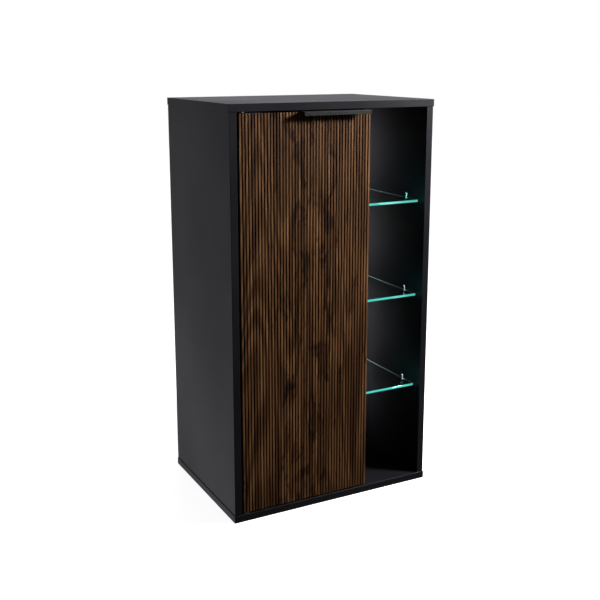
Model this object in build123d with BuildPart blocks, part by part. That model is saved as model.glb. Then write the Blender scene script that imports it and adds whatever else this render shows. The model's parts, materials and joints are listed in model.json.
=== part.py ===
from build123d import *
import os

# Media cabinet: black carcass, fluted walnut door on pivot pins, glass shelves.
# Frame: +Z up, the front faces -Y, the origin is on the floor under the middle
# of the overall box (the edge pull's reach in front included). Millimetres.

# ---------------------------------------------------------------- driving dimensions
width = 550
depth = 390
height = 1000
board = 18
board_lip = 1.5
edge_round = 0.8

door_line = 369
door_gap = 4
door_thickness = 22
face_thickness = 5
slat_count = 44
groove_width = 2.8
groove_depth = 3.5
slat_round = 0.9
slat_lap = 1
door_cover = 2
door_stand_off = 1.5

pull_length = 178
pull_reach = 20
pull_height = 9.5
pull_gauge = 1.5
pull_end_margin = 12
pull_seat = 14
pull_screw_pitch = 64

pivot_inset = 9
pivot_setback = 8.5
pivot_radius = 3
running_clearance = 0.05

glass = 6
shelf_pitch = 244
lowest_shelf = 257.5
glass_setback = 28
glass_side_gap = 2
glass_back_gap = 14

panel = 4
panel_recess = 3
rabbet_width = 9

# ---------------------------------------------------------------- derived planes
front = -(depth + pull_reach) / 2 + pull_reach
back = front + depth
left = -width / 2
right = width / 2

side_front = front + board_lip
left_wall = left + board_lip + board
right_wall = right - board_lip - board
floor_top = board
ceiling = height - board

panel_back = back - panel_recess
panel_front = panel_back - panel

door_left = left_wall + door_gap
door_right = left + door_line
door_width = door_right - door_left
door_front = side_front
door_back = door_front + door_thickness
door_core_front = door_front + face_thickness
door_bottom = floor_top + door_gap
door_top = ceiling - door_gap
door_height = door_top - door_bottom

divider_right = door_right - door_cover
divider_left = divider_right - board
divider_front = door_back + door_stand_off

pivot_x = door_left + pivot_inset
pivot_y = door_front + pivot_setback

shelf_heights = [lowest_shelf + step * shelf_pitch for step in range(3)]
shelf_names = ["lower", "middle", "upper"]

os.makedirs("parts", exist_ok=True)


# ---------------------------------------------------------------- helpers
def save(piece, name):
    """Label the finished piece and write its STEP file."""
    piece.part.label = name
    export_step(piece.part, f"parts/{name}.step")


def outline(level, x_span, y_span):
    """A rectangle at height `level`, given by its spans in X and Y."""
    with BuildSketch(Plane.XY.offset(level)) as plan:
        with Locations(((x_span[0] + x_span[1]) / 2, (y_span[0] + y_span[1]) / 2)):
            Rectangle(x_span[1] - x_span[0], y_span[1] - y_span[0])
    return plan.sketch


def block(x_span, y_span, z_span, mode=Mode.ADD):
    """A box given by its three spans, added to or cut from the current part."""
    extrude(outline(z_span[0], x_span, y_span), amount=z_span[1] - z_span[0], mode=mode)


def discs(plane, spots, radius, length, mode=Mode.ADD):
    """Round posts of one length on a plane, or holes of one depth into it."""
    with BuildSketch(plane) as circles:
        with Locations(*spots):
            Circle(radius)
    extrude(circles.sketch, amount=length, mode=mode)


def drill(plane, spots, radius, hole_depth):
    """Blind holes that go down into a face whose outward normal is the plane's."""
    discs(plane, spots, radius, -hole_depth, Mode.SUBTRACT)


def cross_recess(plane, spots, reach, slot, recess_depth):
    """Crossed driver slots sunk into screw heads."""
    with BuildSketch(plane) as cross:
        with Locations(*spots):
            Rectangle(reach, slot)
            Rectangle(slot, reach)
    extrude(cross.sketch, amount=-recess_depth, mode=Mode.SUBTRACT)


def looking(direction, offset):
    """A plane square to an axis. Its sketch coordinates are named by the direction:
    '+x' and '-x' take (y, z), '+y' and '-y' take (x, z), '+z' and '-z' take (x, y)."""
    normal = {"x": (1, 0, 0), "y": (0, 1, 0), "z": (0, 0, 1)}[direction[1]]
    sign = 1 if direction[0] == "+" else -1
    across = (0, 1, 0) if direction[1] == "x" else (1, 0, 0)
    origin = tuple(offset * axis for axis in normal)
    facing = tuple(sign * axis for axis in normal)
    return Plane(origin=origin, x_dir=across, z_dir=facing)


def face_spots(direction, spots):
    """Spots in frame coordinates, turned into the sketch coordinates of `looking`."""
    flips = {"+x": 1, "-x": -1, "+y": -1, "-y": 1, "+z": 1, "-z": -1}
    return [(first, flips[direction] * second) for first, second in spots]


# ---------------------------------------------------------------- joinery positions
dowel_radius = 4
dowel_in_end = 20
dowel_in_face = 10
dowel_chamfer = 0.8
dowel_setbacks = [45, 190, 335]
dowel_spots = [
    (x, front + setback)
    for x in (left_wall - board / 2, divider_left + board / 2, right_wall + board / 2)
    for setback in dowel_setbacks
]

bush_radius = 6
bush_depth = 12
bush_flange_radius = 9
bush_flange = 1.8
pivot_spot = (pivot_x, pivot_y)

shelf_pin_radius = 2.5
shelf_pin_hole = 8.5
shelf_pin_end_gap = 0.5
shelf_pin_setbacks = [90, 330]
shelf_pin_rows = [front + setback for setback in shelf_pin_setbacks]
shelf_pin_spots = [
    (y, z - board / 2 - shelf_pin_radius) for y in shelf_pin_rows for z in shelf_heights
]

support_setbacks = [72, 320]
support_rows = [front + setback for setback in support_setbacks]
support_spots = [(y, z) for y in support_rows for z in shelf_heights]

bracket_x = (left_wall + divider_left) / 2
bracket_gauge = 2
bracket_width = 40
bracket_leg = 34
bracket_round = 4
bracket_screw_offset = 12
bracket_screw_y = panel_front - 20
bracket_screw_spots = [
    (bracket_x - bracket_screw_offset, bracket_screw_y),
    (bracket_x + bracket_screw_offset, bracket_screw_y),
]
wall_hole_radius = 3
wall_hole_drop = 22
wall_hole_z = ceiling - wall_hole_drop

grommet_x = bracket_x
grommet_z = 110
grommet_radius = 30
grommet_bore = 26

screw_radius = 1.75
screw_depth = 13
panel_screw_heights = [60, 360, 640, 940]
panel_screw_spots = [
    (x, z)
    for x in (left_wall - rabbet_width / 2, divider_left + board / 2, right_wall + rabbet_width / 2)
    for z in panel_screw_heights
]

catch_z = 900
catch_screw_setback = 16
catch_screw_offset = 15
catch_screw_spots = [
    (divider_front + catch_screw_setback, catch_z - catch_screw_offset),
    (divider_front + catch_screw_setback, catch_z + catch_screw_offset),
]


# ---------------------------------------------------------------- carcass boards
with BuildPart() as top_board:
    block((left, right), (front, back), (ceiling, height))
    fillet(top_board.edges(), edge_round)
    block(
        (left_wall - rabbet_width, right_wall + rabbet_width),
        (panel_front, back),
        (ceiling, ceiling + rabbet_width),
        Mode.SUBTRACT,
    )
    underside = looking("-z", ceiling)
    drill(underside, face_spots("-z", dowel_spots), dowel_radius, dowel_in_face)
    drill(underside, face_spots("-z", [pivot_spot]), bush_radius, bush_depth)
    drill(underside, face_spots("-z", bracket_screw_spots), screw_radius, screw_depth)
save(top_board, "top_board")

with BuildPart() as bottom_board:
    block((left, right), (front, back), (0, floor_top))
    fillet(bottom_board.edges(), edge_round)
    block(
        (left_wall - rabbet_width, right_wall + rabbet_width),
        (panel_front, back),
        (floor_top - rabbet_width, floor_top),
        Mode.SUBTRACT,
    )
    drill(looking("+z", floor_top), dowel_spots, dowel_radius, dowel_in_face)
    drill(looking("+z", floor_top), [pivot_spot], bush_radius, bush_depth)
save(bottom_board, "bottom_board")


def end_dowel_holes(spots):
    """Dowel holes in both ends of an upright board."""
    drill(looking("+z", ceiling), spots, dowel_radius, dowel_in_end)
    drill(looking("-z", floor_top), face_spots("-z", spots), dowel_radius, dowel_in_end)


with BuildPart() as left_side:
    block((left_wall - board, left_wall), (side_front, back), (floor_top, ceiling))
    fillet(left_side.edges(), edge_round)
    block(
        (left_wall - rabbet_width, left_wall),
        (panel_front, back),
        (floor_top, ceiling),
        Mode.SUBTRACT,
    )
    end_dowel_holes(dowel_spots[0:3])
    inner_face = looking("+x", left_wall)
    rear_seat = looking("+y", panel_front)
    drill(inner_face, face_spots("+x", shelf_pin_spots), shelf_pin_radius, shelf_pin_hole)
    drill(rear_seat, face_spots("+y", panel_screw_spots[0:4]), screw_radius, screw_depth)
save(left_side, "left_side")

with BuildPart() as right_side:
    block((right_wall, right_wall + board), (side_front, back), (floor_top, ceiling))
    fillet(right_side.edges(), edge_round)
    block(
        (right_wall, right_wall + rabbet_width),
        (panel_front, back),
        (floor_top, ceiling),
        Mode.SUBTRACT,
    )
    end_dowel_holes(dowel_spots[6:9])
    inner_face = looking("-x", right_wall)
    drill(inner_face, face_spots("-x", support_spots), shelf_pin_radius, shelf_pin_hole)
    drill(rear_seat, face_spots("+y", panel_screw_spots[8:12]), screw_radius, screw_depth)
save(right_side, "right_side")

with BuildPart() as divider:
    block((divider_left, divider_right), (divider_front, panel_front), (floor_top, ceiling))
    fillet(divider.edges(), edge_round)
    end_dowel_holes(dowel_spots[3:6])
    door_side = looking("-x", divider_left)
    glass_side = looking("+x", divider_right)
    drill(door_side, face_spots("-x", shelf_pin_spots), shelf_pin_radius, shelf_pin_hole)
    drill(glass_side, face_spots("+x", support_spots), shelf_pin_radius, shelf_pin_hole)
    drill(door_side, face_spots("-x", catch_screw_spots), screw_radius, screw_depth)
    drill(rear_seat, face_spots("+y", panel_screw_spots[4:8]), screw_radius, screw_depth)
save(divider, "divider")

panel_play = 0.5
with BuildPart() as back_panel:
    block(
        (left_wall - rabbet_width + panel_play, right_wall + rabbet_width - panel_play),
        (panel_front, panel_back),
        (floor_top - rabbet_width + panel_play, ceiling + rabbet_width - panel_play),
    )
    rear_face = looking("+y", panel_back)
    drill(rear_face, face_spots("+y", [(grommet_x, grommet_z)]), grommet_radius, panel)
    drill(rear_face, face_spots("+y", [(bracket_x, wall_hole_z)]), wall_hole_radius, panel)
    drill(rear_face, face_spots("+y", panel_screw_spots), screw_radius, panel)
save(back_panel, "back_panel")

dowel_length = dowel_in_end + dowel_in_face
with BuildPart() as dowels:
    discs(looking("+z", ceiling - dowel_in_end), dowel_spots, dowel_radius, dowel_length)
    discs(looking("+z", floor_top - dowel_in_face), dowel_spots, dowel_radius, dowel_length)
    chamfer(dowels.edges(), dowel_chamfer)
save(dowels, "dowels")


pan_head_radius = 3.5
pan_head_height = 1.8
pan_head_chamfer = 0.4
driver_slot = 0.9
driver_depth = 1.0


def pan_head_screws(plane, spots, shank):
    """Pan-head screws: heads stand on the plane, shanks go down behind it."""
    with BuildPart() as group:
        discs(plane, spots, pan_head_radius, pan_head_height)
        chamfer(group.edges().group_by(Axis(plane.origin, plane.z_dir))[-1], pan_head_chamfer)
        cross_recess(plane.offset(pan_head_height), spots, pan_head_radius, driver_slot, driver_depth)
        discs(plane, spots, screw_radius, -shank)
    return group


back_panel_screws = pan_head_screws(
    looking("+y", panel_back), face_spots("+y", panel_screw_spots), shank=panel + screw_depth
)
save(back_panel_screws, "back_panel_screws")

# ---------------------------------------------------------------- fittings in the back
grommet_flange_radius = 34
grommet_flange = 1.6
grommet_stand_out = 2
grommet_round = 0.7
with BuildPart() as cable_grommet:
    with BuildSketch(Plane.XY.offset(grommet_z)):
        with BuildLine():
            Polyline(
                (grommet_x + grommet_bore, panel_front - grommet_flange),
                (grommet_x + grommet_flange_radius, panel_front - grommet_flange),
                (grommet_x + grommet_flange_radius, panel_front),
                (grommet_x + grommet_radius, panel_front),
                (grommet_x + grommet_radius, panel_back + grommet_stand_out),
                (grommet_x + grommet_bore, panel_back + grommet_stand_out),
                close=True,
            )
        make_face()
    revolve(axis=Axis((grommet_x, 0, grommet_z), (0, 1, 0)))
    fillet(cable_grommet.faces().sort_by(Axis.Y)[0].edges(), grommet_round)
save(cable_grommet, "cable_grommet")

with BuildPart() as wall_bracket:
    block(
        (bracket_x - bracket_width / 2, bracket_x + bracket_width / 2),
        (panel_front - bracket_leg, panel_front),
        (ceiling - bracket_gauge, ceiling),
    )
    block(
        (bracket_x - bracket_width / 2, bracket_x + bracket_width / 2),
        (panel_front - bracket_gauge, panel_front),
        (ceiling - bracket_leg, ceiling),
    )
    fillet(wall_bracket.edges().filter_by(Axis.Z).group_by(Axis.Y)[0], bracket_round)
    fillet(wall_bracket.edges().filter_by(Axis.Y).group_by(Axis.Z)[0], bracket_round)
    drill(
        looking("-z", ceiling - bracket_gauge),
        face_spots("-z", bracket_screw_spots),
        screw_radius,
        bracket_gauge,
    )
    drill(
        looking("-y", panel_front - bracket_gauge),
        face_spots("-y", [(bracket_x, wall_hole_z)]),
        wall_hole_radius,
        bracket_gauge,
    )
save(wall_bracket, "wall_bracket")

bracket_screws = pan_head_screws(
    looking("-z", ceiling - bracket_gauge),
    face_spots("-z", bracket_screw_spots),
    shank=screw_depth + bracket_gauge,
)
save(bracket_screws, "bracket_screws")

# ---------------------------------------------------------------- shelves behind the door
shelf_play = 0.5
shelf_setback = 50
shelf_back_gap = 2
for name, level in zip(shelf_names, shelf_heights):
    with BuildPart() as shelf:
        block(
            (left_wall + shelf_play, divider_left - shelf_play),
            (front + shelf_setback, panel_front - shelf_back_gap),
            (level - board / 2, level + board / 2),
        )
        fillet(shelf.edges(), edge_round)
    save(shelf, f"shelf_{name}")

shelf_pin_reach = 9
shelf_pin_root = shelf_pin_hole - shelf_pin_end_gap
with BuildPart() as shelf_pins:
    for direction, wall in (("+x", left_wall), ("-x", divider_left)):
        spots = face_spots(direction, shelf_pin_spots)
        discs(looking(direction, wall), spots, shelf_pin_radius, shelf_pin_reach)
        discs(looking(direction, wall), spots, shelf_pin_radius, -shelf_pin_root)
save(shelf_pins, "shelf_pins")

# ---------------------------------------------------------------- glass shelves
glass_back = panel_front - glass_back_gap
glass_arris = 0.5
for name, level in zip(shelf_names, shelf_heights):
    with BuildPart() as glass_shelf:
        block(
            (divider_right + glass_side_gap, right_wall - glass_side_gap),
            (front + glass_setback, glass_back),
            (level - glass / 2, level + glass / 2),
        )
        chamfer(glass_shelf.edges(), glass_arris)
    save(glass_shelf, f"glass_shelf_{name}")

support_web = 1.5
support_jaw = 2
support_radius = 5
support_centre = 6
thumb_neck_radius = 2
thumb_radius = 4
thumb_height = 9
pad = 0.6
jaw_gap = glass + 2 * pad


def glass_clamp(wall, inward, y, z):
    """One clamp on a wall: a web, two round-nosed jaws, a ball-headed screw and its peg."""
    nose = wall + inward * support_centre
    web_span = sorted((wall, wall + inward * support_web))
    jaw_span = sorted((wall, nose))
    y_span = (y - support_radius, y + support_radius)
    outer = jaw_gap / 2 + support_jaw
    block(web_span, y_span, (z - outer, z + outer))
    for low in (z - outer, z + jaw_gap / 2):
        block(jaw_span, y_span, (low, low + support_jaw))
        discs(looking("+z", low), [(nose, y)], support_radius, support_jaw)
    discs(looking("+z", z + outer), [(nose, y)], thumb_neck_radius, thumb_height)
    with Locations((nose, y, z + outer + thumb_height)):
        Sphere(thumb_radius)
    peg_span = sorted((wall, wall - inward * shelf_pin_root))
    discs(looking("+x", peg_span[0]), [(y, z)], shelf_pin_radius, peg_span[1] - peg_span[0])


with BuildPart() as glass_supports:
    for row, level in support_spots:
        glass_clamp(divider_right, 1, row, level)
        glass_clamp(right_wall, -1, row, level)
save(glass_supports, "glass_supports")

pad_radius = 3.5
pad_spots = [
    (x, y)
    for x in (divider_right + support_centre, right_wall - support_centre)
    for y in support_rows
]
with BuildPart() as glass_pads:
    for level in shelf_heights:
        discs(looking("+z", level + glass / 2), pad_spots, pad_radius, pad)
        discs(looking("+z", level - jaw_gap / 2), pad_spots, pad_radius, pad)
save(glass_pads, "glass_pads")

clip_width = 24
clip_grip = 9
clip_back = 4
clip_wall = 2
clip_play = 0.15
clip_floor = 1.5
clip_round = 1.5
clip_inset = 45
clip_xs = [divider_right + clip_inset, right_wall - clip_inset]
with BuildPart() as led_clips:
    for level in shelf_heights:
        for x in clip_xs:
            block(
                (x - clip_width / 2, x + clip_width / 2),
                (glass_back - clip_grip, glass_back + clip_back),
                (level - glass / 2 - clip_play - clip_wall, level + glass / 2 + clip_play + clip_wall),
            )
            block(
                (x - clip_width / 2, x + clip_width / 2),
                (glass_back - clip_grip, glass_back + clip_floor),
                (level - glass / 2 - clip_play, level + glass / 2 + clip_play),
                Mode.SUBTRACT,
            )
    fillet(led_clips.edges().filter_by(Axis.Z).group_by(Axis.Y)[-1], clip_round)
save(led_clips, "led_clips")

lamp_width = 18
lamp_height = 4
lamp_glass_gap = 0.3
with BuildPart() as led_lamps:
    for level in shelf_heights:
        for x in clip_xs:
            block(
                (x - lamp_width / 2, x + lamp_width / 2),
                (glass_back + lamp_glass_gap, glass_back + clip_floor),
                (level - lamp_height / 2, level + lamp_height / 2),
            )
save(led_lamps, "led_lamps")

# ---------------------------------------------------------------- door
slat_pitch = door_width / slat_count
slat_width = slat_pitch - groove_width
slat_middle_y = door_front + (groove_depth + slat_lap) / 2
slat_spots = [
    (door_left + (index + 0.5) * slat_pitch, slat_middle_y) for index in range(slat_count)
]
web_front = door_front + groove_depth
with BuildPart() as fluted_face:
    block((door_left, door_right), (web_front, door_core_front), (door_bottom, door_top))
    with BuildSketch(Plane.XY.offset(door_bottom)) as slats:
        with Locations(*slat_spots):
            Rectangle(slat_width, groove_depth + slat_lap)
    extrude(slats.sketch, amount=door_height)
    ridge_edges = fluted_face.edges().filter_by(Axis.Z).group_by(Axis.Y)[0]
    fillet(ridge_edges, slat_round)
save(fluted_face, "fluted_face")

pin_in_door = 20
pull_right = door_right - pull_end_margin
pull_left = pull_right - pull_length
pull_middle = (pull_left + pull_right) / 2
pull_screw_setback = 10
pull_screw_spots = [
    (pull_middle + step * pull_screw_pitch, door_front + pull_screw_setback) for step in (-1, 0, 1)
]

plate_gauge = 2
plate_length = 58
plate_width = 16
plate_setback = 3
plate_inset = 2
plate_left = door_left + plate_inset
plate_screw_offsets = [26, 46]
plate_spots = [(plate_left + offset, pivot_y) for offset in plate_screw_offsets]

striker_gauge = 1.2
striker_width = 14
striker_length = 40
striker_round = 2
striker_head_radius = 2.9
striker_screw_offset = 14
magnet_inset = 9
magnet_x = divider_left - magnet_inset
striker_screw_spots = [
    (magnet_x, catch_z - striker_screw_offset),
    (magnet_x, catch_z + striker_screw_offset),
]

with BuildPart() as door_core:
    block((door_left, door_right), (door_core_front, door_back), (door_bottom, door_top))
    fillet(door_core.edges().group_by(Axis.Y)[-1], edge_round)
    drill(looking("+z", door_top), [pivot_spot], pivot_radius, pin_in_door)
    drill(looking("-z", door_bottom), face_spots("-z", [pivot_spot]), pivot_radius, pin_in_door)
    drill(looking("+z", door_top), plate_spots, screw_radius, screw_depth)
    drill(looking("-z", door_bottom), face_spots("-z", plate_spots), screw_radius, screw_depth)
    drill(looking("+z", door_top), pull_screw_spots, screw_radius, screw_depth)
    drill(
        looking("+y", door_back), face_spots("+y", striker_screw_spots), screw_radius, screw_depth
    )
save(door_core, "door_core")


flat_head_recess = 0.8


def flat_head_screws(plane, spots, head_radius, gauge, shank=screw_depth):
    """Countersunk screws: heads end flush with the plane, shanks go down behind it."""
    with BuildPart() as group:
        with BuildSketch(plane) as tops:
            with Locations(*spots):
                Circle(head_radius)
        with BuildSketch(plane.offset(-gauge)) as throats:
            with Locations(*spots):
                Circle(screw_radius)
        for top, throat in zip(tops.sketch.faces(), throats.sketch.faces()):
            loft([throat, top])
        cross_recess(plane, spots, head_radius, driver_slot, flat_head_recess)
        discs(plane.offset(-gauge), spots, screw_radius, -shank)
    return group


def countersunk_holes(plane, spots, head_radius, gauge):
    """Conical holes through a sheet of the given gauge."""
    with BuildSketch(plane) as tops:
        with Locations(*spots):
            Circle(head_radius)
    with BuildSketch(plane.offset(-gauge)) as throats:
        with Locations(*spots):
            Circle(screw_radius)
    for top, throat in zip(tops.sketch.faces(), throats.sketch.faces()):
        loft([throat, top], mode=Mode.SUBTRACT)


pull_head_radius = 3
pull_lip_round = 0.5
pull_top = door_top + pull_gauge
pull_front = front - pull_reach
with BuildPart() as edge_pull:
    with BuildSketch(Plane(origin=(pull_left, 0, 0), x_dir=(0, 1, 0), z_dir=(1, 0, 0))):
        with BuildLine():
            Polyline(
                (pull_front, pull_top - pull_height),
                (pull_front + pull_gauge, pull_top - pull_height),
                (pull_front + pull_gauge, door_top),
                (door_front + pull_seat, door_top),
                (door_front + pull_seat, pull_top),
                (pull_front, pull_top),
                close=True,
            )
        make_face()
    extrude(amount=pull_length)
    outer_bend = edge_pull.edges().filter_by(Axis.X).group_by(Axis.Y)[0].sort_by(Axis.Z)[-1]
    fillet(outer_bend, pull_gauge)
    fillet(edge_pull.edges().filter_by(Axis.X).group_by(Axis.Z)[0], pull_lip_round)
    countersunk_holes(looking("+z", pull_top), pull_screw_spots, pull_head_radius, pull_gauge)
save(edge_pull, "edge_pull")

pull_screws = flat_head_screws(
    looking("+z", pull_top), pull_screw_spots, pull_head_radius, pull_gauge
)
save(pull_screws, "pull_screws")

# ---------------------------------------------------------------- pivot hinge
plate_head_radius = 3.4


def pivot_plate(direction, seat):
    """One pivot plate on a door end: `seat` is the door's end, `direction` points off it."""
    sign = 1 if direction == "+z" else -1
    outer = seat + sign * plate_gauge
    block(
        (plate_left, plate_left + plate_length),
        (door_front + plate_setback, door_front + plate_setback + plate_width),
        (min(seat, outer), max(seat, outer)),
    )
    drill(looking(direction, outer), face_spots(direction, [pivot_spot]), pivot_radius, plate_gauge)
    countersunk_holes(
        looking(direction, outer), face_spots(direction, plate_spots), plate_head_radius, plate_gauge
    )


with BuildPart() as pivot_plates:
    pivot_plate("+z", door_top)
    pivot_plate("-z", door_bottom)
save(pivot_plates, "pivot_plates")

pin_tip = 11
pin_chamfer = 0.6
pin_length = pin_in_door + door_gap + pin_tip
with BuildPart() as pivot_pins:
    discs(looking("+z", door_top - pin_in_door), [pivot_spot], pivot_radius, pin_length)
    discs(looking("+z", floor_top - pin_tip), [pivot_spot], pivot_radius, pin_length)
    chamfer(pivot_pins.edges(), pin_chamfer)
save(pivot_pins, "pivot_pins")

bush_end_gap = 0.4
bush_bore = pivot_radius + running_clearance
bush_bore_depth = bush_flange + pin_tip + bush_end_gap
with BuildPart() as pivot_bushes:
    for direction, seat in (("-z", ceiling), ("+z", floor_top)):
        mouth = looking(direction, seat)
        spots = face_spots(direction, [pivot_spot])
        discs(mouth, spots, bush_flange_radius, bush_flange)
        discs(mouth, spots, bush_radius, -bush_depth)
        drill(mouth.offset(bush_flange), spots, bush_bore, bush_bore_depth)
save(pivot_bushes, "pivot_bushes")

top_plate_screws = flat_head_screws(
    looking("+z", door_top + plate_gauge), plate_spots, plate_head_radius, plate_gauge
)
save(top_plate_screws, "top_plate_screws")

bottom_plate_screws = flat_head_screws(
    looking("-z", door_bottom - plate_gauge),
    face_spots("-z", plate_spots),
    plate_head_radius,
    plate_gauge,
)
save(bottom_plate_screws, "bottom_plate_screws")

# ---------------------------------------------------------------- catch and bumpers
catch_length = 46
catch_width = 16
catch_body_depth = 24
catch_gap = 0.3
catch_front = door_back + striker_gauge + catch_gap
magnet_width = 7
magnet_length = 32
magnet_depth = 10
catch_round = 3
catch_rear = catch_front + catch_body_depth
catch_seat = looking("-x", divider_left - catch_width)
with BuildPart() as catch_body:
    block(
        (divider_left - catch_width, divider_left),
        (catch_front, catch_rear),
        (catch_z - catch_length / 2, catch_z + catch_length / 2),
    )
    fillet(catch_body.edges().filter_by(Axis.Y).group_by(Axis.X)[0], catch_round)
    drill(catch_seat, face_spots("-x", catch_screw_spots), screw_radius, catch_width)
    block(
        (magnet_x - magnet_width / 2, magnet_x + magnet_width / 2),
        (catch_front, catch_front + magnet_depth),
        (catch_z - magnet_length / 2, catch_z + magnet_length / 2),
        Mode.SUBTRACT,
    )
save(catch_body, "catch_body")

with BuildPart() as catch_magnet:
    block(
        (magnet_x - magnet_width / 2, magnet_x + magnet_width / 2),
        (catch_front, catch_front + magnet_depth),
        (catch_z - magnet_length / 2, catch_z + magnet_length / 2),
    )
save(catch_magnet, "catch_magnet")

catch_screws = pan_head_screws(
    catch_seat, face_spots("-x", catch_screw_spots), shank=catch_width + screw_depth
)
save(catch_screws, "catch_screws")

with BuildPart() as striker_plate:
    block(
        (magnet_x - striker_width / 2, magnet_x + striker_width / 2),
        (door_back, door_back + striker_gauge),
        (catch_z - striker_length / 2, catch_z + striker_length / 2),
    )
    fillet(striker_plate.edges().filter_by(Axis.Y), striker_round)
    countersunk_holes(
        looking("+y", door_back + striker_gauge),
        face_spots("+y", striker_screw_spots),
        striker_head_radius,
        striker_gauge,
    )
save(striker_plate, "striker_plate")

striker_screws = flat_head_screws(
    looking("+y", door_back + striker_gauge),
    face_spots("+y", striker_screw_spots),
    striker_head_radius,
    striker_gauge,
)
save(striker_screws, "striker_screws")

bumper_radius = 4
bumper_height = 1.2
bumper_round = 0.8
bumper_heights = [70, 930]
bumper_spots = [(divider_left + board / 2, z) for z in bumper_heights]
with BuildPart() as door_bumpers:
    discs(looking("-y", divider_front), face_spots("-y", bumper_spots), bumper_radius, bumper_height)
    fillet(door_bumpers.faces().sort_by(Axis.Y)[:2].edges(), bumper_round)
save(door_bumpers, "door_bumpers")
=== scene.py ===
# Looks for the media cabinet: black laminate carcass, fluted walnut door, edge-lit glass shelves.
# Metres and watts, +Z up, the front faces -Y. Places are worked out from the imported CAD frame.
import json
import math

import bpy
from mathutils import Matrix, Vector


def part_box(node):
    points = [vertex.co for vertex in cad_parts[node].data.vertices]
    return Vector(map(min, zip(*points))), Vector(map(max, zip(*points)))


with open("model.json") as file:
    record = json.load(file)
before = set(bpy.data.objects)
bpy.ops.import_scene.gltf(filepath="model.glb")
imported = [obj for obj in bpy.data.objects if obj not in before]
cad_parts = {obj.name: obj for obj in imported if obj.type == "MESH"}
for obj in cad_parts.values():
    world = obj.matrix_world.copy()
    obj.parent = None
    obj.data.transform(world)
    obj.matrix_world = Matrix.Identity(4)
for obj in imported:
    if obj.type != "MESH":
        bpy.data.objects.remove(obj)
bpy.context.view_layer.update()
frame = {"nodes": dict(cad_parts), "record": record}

# ---------------------------------------------------------------- places in the frame
TOP_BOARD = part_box("top_board")
FRONT = TOP_BOARD[0].y
LEFT = TOP_BOARD[0].x
TOP = TOP_BOARD[1].z
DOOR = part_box("fluted_face")
DOOR_WIDTH = DOOR[1].x - DOOR[0].x
DOOR_MIDDLE = (DOOR[0].x + DOOR[1].x) / 2
RIGHT_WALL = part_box("right_side")[0].x
GLASS = [f"glass_shelf_{place}" for place in ("lower", "middle", "upper")]

# ---------------------------------------------------------------- walnut
SLATS = 44
GROOVE_SHADE_START = 0.0006  # depths behind the slats' crests where the painted groove shade starts and is full
GROOVE_SHADE_FULL = 0.0026
GROOVE_PAINTED_SHADE = (0.022, 0.012, 0.006, 1.0)
WALNUT_TONES = [
    (0.0, (0.004, 0.0013, 0.0004)),
    (0.28, (0.021, 0.0075, 0.0024)),
    (0.52, (0.056, 0.0240, 0.0082)),
    (0.78, (0.118, 0.0550, 0.0215)),
    (1.0, (0.205, 0.1060, 0.0470)),
]
# Noise scales per metre over X, Y and Z. The small Z draws the figure out along the grain.
WARP_SCALE = (6.5, 6.5, 0.6)
FIBRE_SCALE = (700, 700, 9)
PORE_SCALE = (1300, 1300, 45)
STREAK_SCALE = (95, 95, 2.6)
HEART_SCALE = (34, 34, 9)
RING_DENSITY = 150.0
# How far each layer moves the tone
RING_WEIGHT = 0.24
FIBRE_WEIGHT = 0.55
STREAK_WEIGHT = 0.70
MIDDLE_WEIGHT = 0.03
HEART_WEIGHT = -0.38
PORE_WEIGHT = -0.16
BASE_TONE = -0.13
SLAT_WEIGHT = 0.26
SLAT_OFFSET = 0.14
HEART_IN_MIDDLE = 0.11

# ---------------------------------------------------------------- lit glass and lamps
EDGE_TEAL = (0.09, 0.72, 0.62, 1.0)
SIDE_EDGE_GREEN = (0.42, 0.58, 0.50, 1.0)
LAMP_TEAL = (0.16, 1.0, 0.90, 1.0)

# ---------------------------------------------------------------- lights
KEY_PLACE = (1.05, FRONT - 0.58, TOP + 0.40)
KEY_TARGET = (0.0, FRONT, TOP * 0.62)
KEY_SIZE = (0.26, 0.26)
KEY_WATTS = 64
GLOW_WHITE = (1.0, 1.0, 0.93)
GLOW_TEAL = (0.15, 0.95, 0.85)
GLOW_INSET = 0.02  # from the glass shelf's left and rear edges
GLOW_LEAN = 0.02  # how far forward the glow points
GLOW_SPREAD = math.radians(125)
SPILL_HEIGHT = 0.105
SPILL_SIZE = (0.06, 0.17)
SPILL_WATTS = 1.1
UNDER_DEPTH = 0.04
UNDER_SIZE = (0.06, 0.05)
UNDER_WATTS = 0.75
EDGE_SIZE = (0.10, 0.01)
EDGE_WATTS = 0.03

# ---------------------------------------------------------------- floor and camera
FLOOR_REACH = 9.0
FLOOR_DROP = 0.0002
FLOOR_GLOW = 0.85
CAMERA_PLACE = (LEFT - 0.825, FRONT - 1.8953, TOP + 0.0982)
CAMERA_YAW = 0.4863
CAMERA_PITCH = -0.2114
CAMERA_LENS = 55.9
CAMERA_SENSOR = 36.0
CAMERA_SHIFT = -0.07


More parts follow.
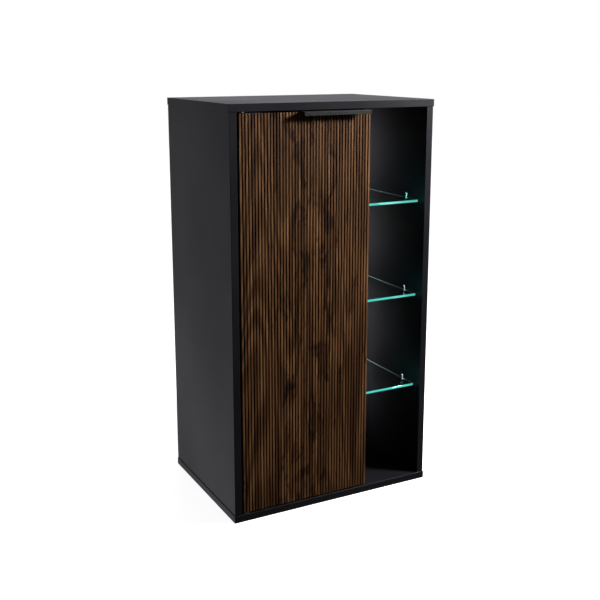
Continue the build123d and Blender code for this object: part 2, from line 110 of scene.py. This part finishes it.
# ---------------------------------------------------------------- node helpers
class Shader:
    """A material's node tree with short calls to add and join nodes."""

    def __init__(self, name):
        self.material = bpy.data.materials.new(name)
        self.material.use_nodes = True
        self.tree = self.material.node_tree
        self.surface = self.tree.nodes["Principled BSDF"]
        self.place = self.add("ShaderNodeTexCoord").outputs["Object"]

    def add(self, kind, **settings):
        """Adds a node and sets its properties."""
        node = self.tree.nodes.new(kind)
        for key, value in settings.items():
            setattr(node, key, value)
        return node

    def feed(self, socket, value):
        """Joins an output to a socket, or sets a constant on it."""
        if isinstance(value, bpy.types.NodeSocket):
            self.tree.links.new(value, socket)
        else:
            socket.default_value = value

    def set(self, **sockets):
        """Sets or feeds the surface's sockets, named with _ for a space."""
        for key, value in sockets.items():
            self.feed(self.surface.inputs[key.replace("_", " ")], value)

    def scaled(self, x, y, z):
        """The object's coordinates, stretched along each axis."""
        node = self.add("ShaderNodeVectorMath", operation="MULTIPLY")
        self.feed(node.inputs[0], self.place)
        node.inputs[1].default_value = (x, y, z)
        return node.outputs[0]

    def noise(self, vector, scale=1.0, detail=3.0, rough=0.5, distortion=0.0):
        node = self.add("ShaderNodeTexNoise")
        self.feed(node.inputs["Vector"], vector)
        node.inputs["Scale"].default_value = scale
        node.inputs["Detail"].default_value = detail
        node.inputs["Roughness"].default_value = rough
        node.inputs["Distortion"].default_value = distortion
        return node.outputs[0]

    def math(self, operation, *values):
        node = self.add("ShaderNodeMath", operation=operation)
        for socket, value in zip(node.inputs, values):
            self.feed(socket, value)
        return node.outputs[0]

    def spread(self, value, low, high, to_low=0.0, to_high=1.0):
        """Maps low..high smoothly to to_low..to_high and holds the ends."""
        node = self.add("ShaderNodeMapRange", interpolation_type="SMOOTHSTEP")
        self.feed(node.inputs["Value"], value)
        node.inputs["From Min"].default_value = low
        node.inputs["From Max"].default_value = high
        node.inputs["To Min"].default_value = to_low
        node.inputs["To Max"].default_value = to_high
        return node.outputs[0]

    def axis(self, name, source=None):
        """One axis of a vector, or of the object's coordinates."""
        node = self.add("ShaderNodeSeparateXYZ")
        self.feed(node.inputs[0], source or self.place)
        return node.outputs[name]

    def mix(self, factor, first, second):
        node = self.add("ShaderNodeMix", data_type="RGBA")
        self.feed(node.inputs["Factor"], factor)
        self.feed(node.inputs[6], first)
        self.feed(node.inputs[7], second)
        return node.outputs[2]

    def ramp(self, factor, stops):
        node = self.add("ShaderNodeValToRGB")
        self.feed(node.inputs[0], factor)
        elements = node.color_ramp.elements
        while len(elements) < len(stops):
            elements.new(0.5)
        for element, (position, color) in zip(elements, stops):
            element.position = position
            element.color = (*color, 1.0)
        return node.outputs[0]

    def bump(self, height, distance, strength):
        node = self.add("ShaderNodeBump")
        node.inputs["Strength"].default_value = strength
        node.inputs["Distance"].default_value = distance
        self.feed(node.inputs["Height"], height)
        return node.outputs[0]

    def edge_wear_and_highlight(self, radius):
        """Near 0 on flat faces and up to 1 on sharp edges, from a rounded normal; a mask for edge wear
        and painted edge highlight.
        """
        rounded = self.add("ShaderNodeBevel", samples=4)
        rounded.inputs["Radius"].default_value = radius
        true = self.add("ShaderNodeNewGeometry").outputs["True Normal"]
        facing = self.add("ShaderNodeVectorMath", operation="DOT_PRODUCT")
        self.feed(facing.inputs[0], rounded.outputs[0])
        self.feed(facing.inputs[1], true)
        return self.spread(facing.outputs["Value"], 1.0, 0.82)


def grey(value, tint=(1.0, 1.0, 1.0)):
    """An opaque colour from a lightness and a tint."""
    return tuple(value * part for part in tint) + (1.0,)


# ---------------------------------------------------------------- materials
def black_laminate():
    """Satin black melamine face with a fine pearl texture, and slightly paler edges that are partly
    rubbed wear and partly painted highlight.
    """
    shader = Shader("black_laminate")
    darker = grey(0.0055, (1, 0.96, 1.25))
    paler = grey(0.0075, (1, 0.97, 1.22))
    worn_and_lit = grey(0.035, (1, 1, 1.05))
    cloud = shader.noise(shader.scaled(3, 3, 3), detail=4)
    pearl = shader.noise(shader.place, scale=1500, detail=2)
    scuff = shader.noise(shader.place, scale=60)
    # Paler edges: rubbed wear broken up by scuff noise, and partly a painted highlight along the edges.
    wear_and_highlight = shader.math("MULTIPLY", shader.edge_wear_and_highlight(radius=0.0012), scuff)
    tint = shader.mix(shader.spread(cloud, 0.35, 0.65), darker, paler)
    shader.set(Base_Color=shader.mix(wear_and_highlight, tint, worn_and_lit), Specular_IOR_Level=0.14)
    shader.set(Roughness=shader.spread(cloud, 0.3, 0.7, 0.36, 0.44))
    shader.set(Normal=shader.bump(pearl, distance=0.00006, strength=0.5))
    return shader.material


def walnut_tone(shader, fibre, pores):
    """Lightness of the wood: contour rings, fibres, streaks, dark heart patches and pores."""
    warp = shader.noise(shader.scaled(*WARP_SCALE), detail=2.5, rough=0.45, distortion=0.5)
    rings = shader.math("SINE", shader.math("MULTIPLY", warp, RING_DENSITY))
    rings = shader.spread(rings, -1.0, 1.0)
    streak = shader.noise(shader.scaled(*STREAK_SCALE), detail=4, rough=0.65)
    offside = shader.math("ABSOLUTE", shader.math("SUBTRACT", shader.axis("X"), DOOR_MIDDLE))
    middle = shader.spread(offside, 0.02, DOOR_WIDTH * 0.42, 1.0, 0.0)
    heart = shader.noise(shader.scaled(*HEART_SCALE), detail=4, rough=0.7, distortion=0.8)
    heart = shader.math("ADD", heart, shader.math("MULTIPLY", middle, HEART_IN_MIDDLE))
    heart = shader.spread(heart, 0.60, 0.76)
    layers = [
        (fibre, FIBRE_WEIGHT),
        (streak, STREAK_WEIGHT),
        (middle, MIDDLE_WEIGHT),
        (heart, HEART_WEIGHT),
        (pores, PORE_WEIGHT),
    ]
    tone = shader.math("MULTIPLY_ADD", rings, RING_WEIGHT, BASE_TONE)
    for layer, weight in layers:
        tone = shader.math("MULTIPLY_ADD", layer, weight, tone)
    return tone


def slat_tone(shader, tone):
    """Makes each slat a little lighter or darker than its neighbours."""
    across = shader.math("SUBTRACT", shader.axis("X"), DOOR[0].x)
    cell = shader.math("DIVIDE", across, DOOR_WIDTH / SLATS)
    own = shader.add("ShaderNodeTexWhiteNoise", noise_dimensions="1D")
    shader.feed(own.inputs["W"], shader.math("FLOOR", cell))
    tone = shader.math("SUBTRACT", tone, SLAT_OFFSET)
    return shader.math("MULTIPLY_ADD", own.outputs["Value"], SLAT_WEIGHT, tone)


def walnut(name, fluted):
    """Dark open-pored walnut with its grain along +Z, and painted shade in the grooves of the fluted
    face.
    """
    shader = Shader(name)
    fibre = shader.noise(shader.scaled(*FIBRE_SCALE), detail=4, rough=0.6)
    pores = shader.noise(shader.scaled(*PORE_SCALE), detail=2, rough=0.7)
    pores = shader.spread(pores, 0.58, 0.70)
    tone = walnut_tone(shader, fibre, pores)
    if fluted:
        tone = slat_tone(shader, tone)
    color = shader.ramp(tone, WALNUT_TONES)
    if fluted:
        # The grooves' colour is painted shade: it darkens the wood by depth behind the slat crests.
        crest = DOOR[0].y
        painted_groove_shade = shader.spread(shader.axis("Y"), crest + GROOVE_SHADE_START, crest + GROOVE_SHADE_FULL)
        color = shader.mix(painted_groove_shade, color, GROOVE_PAINTED_SHADE)
    shader.set(Base_Color=color, Specular_IOR_Level=0.10)
    shader.set(Roughness=shader.spread(tone, 0.0, 1.0, 0.66, 0.50))
    relief = shader.math("MULTIPLY_ADD", pores, -0.6, fibre)
    shader.set(Normal=shader.bump(relief, distance=0.00025, strength=0.5))
    return shader.material


def back_board():
    """Matt black painted fibreboard with a faint felted mottling."""
    shader = Shader("back_board")
    mottle = shader.noise(shader.place, scale=240, detail=5, rough=0.7)
    shader.set(Base_Color=shader.mix(mottle, grey(0.014), grey(0.030, (1, 1, 1.04))))
    shader.set(Roughness=shader.spread(mottle, 0.3, 0.7, 0.65, 0.8))
    shader.set(Normal=shader.bump(mottle, distance=0.0002, strength=0.4))
    return shader.material


def lit_glass():
    """Clear float glass with lit edges: teal in front and behind, greener along the sides."""
    shader = Shader("clear_glass")
    low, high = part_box(GLASS[0])
    normal = shader.add("ShaderNodeNewGeometry").outputs["True Normal"]
    ends = shader.spread(shader.math("ABSOLUTE", shader.axis("Y", normal)), 0.5, 0.9)
    sides = shader.spread(shader.math("ABSOLUTE", shader.axis("X", normal)), 0.5, 0.9)
    along = shader.spread(shader.axis("X"), low.x, high.x, 1.0, 0.80)
    deep = shader.spread(shader.axis("Y"), low.y + 0.03, high.y - 0.10, 0.05, 0.6)
    flecks = shader.noise(shader.scaled(60, 60, 300), detail=3)
    glow = shader.math("MULTIPLY_ADD", sides, deep, shader.math("MULTIPLY", ends, along))
    glow = shader.math("MULTIPLY", glow, shader.spread(flecks, 0.25, 0.75, 0.76, 1.04))
    shader.set(Base_Color=(0.90, 0.985, 0.975, 1.0), Transmission_Weight=1.0, IOR=1.5)
    shader.set(Roughness=shader.spread(flecks, 0.3, 0.7, 0.0, 0.03))
    shader.set(Emission_Color=shader.mix(sides, EDGE_TEAL, SIDE_EDGE_GREEN), Emission_Strength=glow)
    return shader.material


def metal(name, shade, tint, rough, brush=(300, 300, 300), relief=0.00002, metallic=1.0, gloss=0.5):
    """Plated or painted metal with fine directional scuffs, and brighter edges that are partly wear and
    partly painted highlight.
    """
    shader = Shader(name)
    scuff = shader.noise(shader.scaled(*brush), detail=3, rough=0.6)
    cloud = shader.noise(shader.place, scale=25, detail=3)
    # Brighter edges: partly wear, partly painted highlight.
    wear_and_highlight = shader.math("MULTIPLY", shader.edge_wear_and_highlight(radius=0.0006), 0.5)
    color = shader.mix(cloud, grey(shade * 0.86, tint), grey(shade, tint))
    color = shader.mix(wear_and_highlight, color, grey(min(1.0, shade * 1.35 + 0.03), tint))
    shader.set(Base_Color=color, Metallic=metallic, Specular_IOR_Level=gloss)
    shader.set(Roughness=shader.spread(scuff, 0.25, 0.75, rough * 0.75, rough * 1.25))
    shader.set(Normal=shader.bump(scuff, distance=relief, strength=0.5))
    return shader.material


def plastic(name, color, rough, grain=900, clear=0.0):
    """Moulded plastic: fine grain and a slight drift of tone and gloss."""
    shader = Shader(name)
    pebble = shader.noise(shader.place, scale=grain, detail=2)
    drift = shader.noise(shader.place, scale=40, detail=2)
    paler = tuple(min(1.0, part * 1.18 + 0.004) for part in color)
    shader.set(Base_Color=shader.mix(drift, (*color, 1.0), (*paler, 1.0)), Transmission_Weight=clear)
    shader.set(Roughness=shader.spread(drift, 0.3, 0.7, rough * 0.85, rough * 1.15))
    shader.set(Normal=shader.bump(pebble, distance=0.00005, strength=0.4))
    return shader.material


def beech():
    """Pale beech dowel wood with short flecks along its length."""
    shader = Shader("beech")
    fleck = shader.noise(shader.scaled(900, 900, 60), detail=3)
    shader.set(Base_Color=shader.mix(fleck, (0.42, 0.26, 0.14, 1.0), (0.62, 0.43, 0.25, 1.0)))
    shader.set(Roughness=0.6, Normal=shader.bump(fleck, distance=0.0001, strength=0.4))
    return shader.material


def lamp_face():
    """The lamps' lit teal diffuser, uneven over its chips."""
    shader = Shader("led_lamp")
    chips = shader.noise(shader.scaled(260, 1, 400), detail=1)
    shader.set(Base_Color=(0.7, 0.95, 0.93, 1.0), Roughness=0.4)
    shader.set(Emission_Color=LAMP_TEAL, Emission_Strength=shader.spread(chips, 0.3, 0.7, 0.6, 1.1))
    return shader.material


def black_metal():
    """Satin black powder coat."""
    return metal("black_metal", 0.012, (1, 0.98, 1.08), 0.42, relief=0.00004, metallic=0.0, gloss=0.16)


SLOT_LOOKS = {
    "black_laminate": black_laminate(),
    "walnut": walnut("walnut", fluted=False),
    "back_board": back_board(),
    "clear_glass": lit_glass(),
    "chrome": metal("chrome", 0.80, (0.97, 1.0, 1.0), 0.14),
    "black_metal": black_metal(),
    "zinc_steel": metal("zinc_steel", 0.55, (1, 1, 1.03), 0.32, brush=(80, 900, 80)),
    "beech": beech(),
    "clear_plastic": plastic("clear_plastic", (0.72, 0.78, 0.78), 0.2, clear=0.6),
    "black_plastic": plastic("black_plastic", (0.022, 0.022, 0.023), 0.5),
    "magnet": plastic("magnet", (0.05, 0.05, 0.052), 0.6, grain=1800),
    "led_lamp": lamp_face(),
}
NODE_LOOKS = {"fluted_face": walnut("walnut_fluted", fluted=True)}

for part in frame["record"]["subparts"]:
    name = part["node"]
    materials = frame["nodes"][name].data.materials
    materials.clear()
    materials.append(NODE_LOOKS.get(name, SLOT_LOOKS[part["material_slot"]]))


# ---------------------------------------------------------------- stage
def add_floor():
    """A plain pale floor that shows no reflection and lights nothing."""
    mesh = bpy.data.meshes.new("floor")
    reach = FLOOR_REACH
    corners = [(-reach, -reach, 0), (reach, -reach, 0), (reach, reach, 0), (-reach, reach, 0)]
    mesh.from_pydata(corners, [], [(0, 1, 2, 3)])
    floor = bpy.data.objects.new("floor", mesh)
    bpy.context.collection.objects.link(floor)
    floor.location.z = -FLOOR_DROP
    shader = Shader("floor")
    shade = shader.noise(shader.place, scale=1.2, detail=2)
    shader.set(Base_Color=shader.mix(shade, grey(0.90), grey(0.92)), Roughness=0.85)
    shader.set(Specular_IOR_Level=0.1, Emission_Color=grey(1.0), Emission_Strength=FLOOR_GLOW)
    mesh.materials.append(shader.material)
    floor.visible_glossy = False
    floor.visible_diffuse = False


def add_area(name, place, target, size, watts, color=(1, 1, 1)):
    """A rectangular light at a place, turned to a target and not seen by the camera."""
    light = bpy.data.lights.new(name, "AREA")
    light.shape = "RECTANGLE"
    light.size, light.size_y = size
    light.energy = watts
    light.color = color
    lamp = bpy.data.objects.new(name, light)
    lamp.location = place
    lamp.rotation_euler = (Vector(target) - lamp.location).to_track_quat("-Z", "Y").to_euler()
    lamp.visible_camera = False
    bpy.context.collection.objects.link(lamp)
    return lamp


def add_wall_glow(name, shelf, height, size, watts):
    """The lamps' light on the right wall, from beside a shelf's rear edge at a height."""
    low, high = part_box(shelf)
    place = (low.x + GLOW_INSET, high.y - GLOW_INSET, height)
    target = (RIGHT_WALL, place[1] - GLOW_LEAN, height)
    glow = add_area(name, place, target, size, watts, GLOW_WHITE)
    glow.data.spread = GLOW_SPREAD
    glow.visible_glossy = False
    glow.visible_transmission = False


def add_edge_glow(shelf):
    """Teal light from a shelf's front edge."""
    low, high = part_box(shelf)
    place = ((low.x + high.x) / 2, low.y + 0.012, high.z + 0.004)
    target = (high.x, low.y + 0.03, high.z + 0.05)
    glow = add_area(shelf + "_edge", place, target, EDGE_SIZE, EDGE_WATTS, GLOW_TEAL)
    glow.visible_transmission = False


def add_lights():
    """A soft key from the upper right, and the lamps' glow in the open bay."""
    add_area("key", KEY_PLACE, KEY_TARGET, KEY_SIZE, KEY_WATTS)
    for shelf in GLASS:
        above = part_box(shelf)[1].z + SPILL_HEIGHT
        add_wall_glow(shelf + "_spill", shelf, above, SPILL_SIZE, SPILL_WATTS)
        add_edge_glow(shelf)
    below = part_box(GLASS[0])[0].z - UNDER_DEPTH
    add_wall_glow(GLASS[0] + "_under", GLASS[0], below, UNDER_SIZE, UNDER_WATTS)


def add_world():
    """A room that is bright behind the cabinet and dim in front, seen as a plain white backdrop."""
    world = bpy.data.worlds.new("studio")
    bpy.context.scene.world = world
    world.use_nodes = True
    nodes, links = world.node_tree.nodes, world.node_tree.links
    direction = nodes.new("ShaderNodeTexCoord")
    split = nodes.new("ShaderNodeSeparateXYZ")
    links.new(direction.outputs["Generated"], split.inputs[0])

    def grade(axis, low, high, to_low, to_high):
        """Brightness that rises from to_low to to_high as the direction turns along an axis."""
        shade = nodes.new("ShaderNodeMapRange")
        shade.interpolation_type = "SMOOTHSTEP"
        shade.inputs["From Min"].default_value = low
        shade.inputs["From Max"].default_value = high
        shade.inputs["To Min"].default_value = to_low
        shade.inputs["To Max"].default_value = to_high
        links.new(split.outputs[axis], shade.inputs["Value"])
        return shade.outputs[0]

    def combine(operation, first, second):
        node = nodes.new("ShaderNodeMath")
        node.operation = operation
        links.new(first, node.inputs[0])
        links.new(second, node.inputs[1])
        return node.outputs[0]

    toward_back = grade("Y", -0.8, 0.7, 0.04, 0.69)
    toward_right = grade("X", -0.5, 0.3, 0.54, 1.0)
    below = grade("Z", 0.0, -0.5, 0.0, 0.42)
    strength = combine("MULTIPLY", toward_back, combine("ADD", toward_right, below))

    room = nodes["Background"]
    room.inputs["Color"].default_value = (0.94, 0.93, 1.0, 1)
    links.new(strength, room.inputs["Strength"])
    backdrop = nodes.new("ShaderNodeBackground")
    backdrop.inputs["Color"].default_value = (1, 1, 1, 1)
    path = nodes.new("ShaderNodeLightPath")
    choose = nodes.new("ShaderNodeMixShader")
    links.new(path.outputs["Is Camera Ray"], choose.inputs[0])
    links.new(room.outputs[0], choose.inputs[1])
    links.new(backdrop.outputs[0], choose.inputs[2])
    links.new(choose.outputs[0], nodes["World Output"].inputs["Surface"])


def add_camera():
    """Stands in front of the left side, a little above the top board."""
    data = bpy.data.cameras.new("camera")
    data.lens = CAMERA_LENS
    data.sensor_width = CAMERA_SENSOR
    data.shift_y = CAMERA_SHIFT
    camera = bpy.data.objects.new("camera", data)
    bpy.context.collection.objects.link(camera)
    camera.location = CAMERA_PLACE
    level = math.cos(CAMERA_PITCH)
    ahead = Vector((math.sin(CAMERA_YAW) * level, math.cos(CAMERA_YAW) * level, math.sin(CAMERA_PITCH)))
    camera.rotation_euler = ahead.to_track_quat("-Z", "Y").to_euler()
    bpy.context.scene.camera = camera


add_floor()
add_lights()
add_world()
add_camera()
bpy.context.scene.view_settings.view_transform = "Standard"
